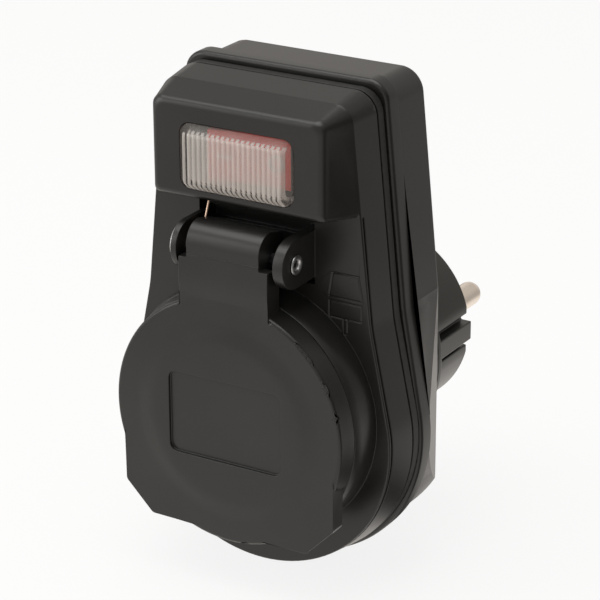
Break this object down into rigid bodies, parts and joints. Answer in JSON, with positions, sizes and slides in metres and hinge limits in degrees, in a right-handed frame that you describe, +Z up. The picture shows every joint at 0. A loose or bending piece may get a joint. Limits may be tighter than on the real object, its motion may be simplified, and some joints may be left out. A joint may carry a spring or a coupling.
{
  "type": "switched plug adapter",
  "caption": "Black splash-proof plug adapter with a hinged socket lid, a lit rocker switch under a clear ribbed cap and an earthed plug at the back.",
  "frame": {"origin": "on the plug's axis, in the face of its base disc that meets the wall socket", "axes": "+Z up as plugged in with the switch above the socket, the plug points to +Y, the socket and its lid face -Y, +X is to the right as seen from the plug's side turned to the front, that is to the right for a user who faces the lid"},
  "size_m": [0.0576, 0.0787, 0.0954],
  "materials": {
    "shell_plastic": "fine spark-eroded texture, low sheen",
    "insert_plastic": "smooth heat-resistant plastic",
    "plug_plastic": "smooth heat-resistant plastic",
    "seal_rubber": "soft matt rubber",
    "zinc_steel": "bright zinc plate",
    "spring_steel": "drawn wire with a copper tint",
    "contact_brass": "rolled sheet and turned parts, slightly dull",
    "nickel_plate": "nickel plate on brass",
    "pin_nickel": "nickel plate on turned brass",
    "switch_plastic": "moulded switch case",
    "rocker_red": "translucent red",
    "mark_white": "white inlay",
    "lamp_glass": "small glass lamp",
    "resistor_body": "lacquered resistor",
    "clear_cap": "clear flexible cap with fine upright ribs"
  },
  "bodies": {
    "housing": {"front_shell": "shell_plastic", "rear_shell": "shell_plastic", "shell_gasket": "seal_rubber", "housing_screws": "zinc_steel", "socket_insert": "insert_plastic", "live_contact_sleeve": "contact_brass", "neutral_contact_sleeve": "contact_brass", "socket_earth_bracket": "nickel_plate", "plug_earth_bracket": "nickel_plate", "earth_rivets": "nickel_plate", "plug_body": "plug_plastic", "live_pin": "pin_nickel", "neutral_pin": "pin_nickel", "live_feed_strip": "contact_brass", "neutral_feed_strip": "contact_brass", "live_load_strip": "contact_brass", "neutral_load_strip": "contact_brass", "switch_frame": "switch_plastic", "common_terminals": "contact_brass", "on_terminals": "contact_brass", "neon_lamp": "lamp_glass", "lamp_resistor": "resistor_body", "switch_cap": "clear_cap", "hinge_pin": "zinc_steel", "lid_spring": "spring_steel"},
    "lid": {"lid": "shell_plastic", "lid_gasket": "seal_rubber"},
    "rocker": {"rocker": "rocker_red", "rocker_marks": "mark_white", "plungers": "contact_brass", "plunger_springs": "spring_steel"},
    "live_arm": {"live_contact_arm": "contact_brass"},
    "neutral_arm": {"neutral_contact_arm": "contact_brass"}
  },
  "joints": [
    {"name": "lid_hinge", "type": "hinge", "parent": "housing", "child": "lid", "pos_m": [0, -0.038, 0.0301], "axis": [-1, 0, 0], "range_deg": [0, 115], "stiffness_Nm_per_rad": 0.002, "springref_deg": -57.3},
    {"name": "rocker_pivot", "type": "hinge", "parent": "housing", "child": "rocker", "pos_m": [0, -0.028, 0.0464], "axis": [0, 0, -1], "range_deg": [0, 14]},
    {"name": "live_arm_rock", "type": "hinge", "parent": "housing", "child": "live_arm", "pos_m": [0, -0.01925, 0.0493], "axis": [0, 0, 1], "range_deg": [0, 10]},
    {"name": "neutral_arm_rock", "type": "hinge", "parent": "housing", "child": "neutral_arm", "pos_m": [0, -0.01925, 0.0435], "axis": [0, 0, 1], "range_deg": [0, 10]}
  ],
  "couplings": [
    {"joint": "live_arm_rock", "follows": "rocker_pivot", "ratio": 0.71},
    {"joint": "neutral_arm_rock", "follows": "rocker_pivot", "ratio": 0.71}
  ]
}
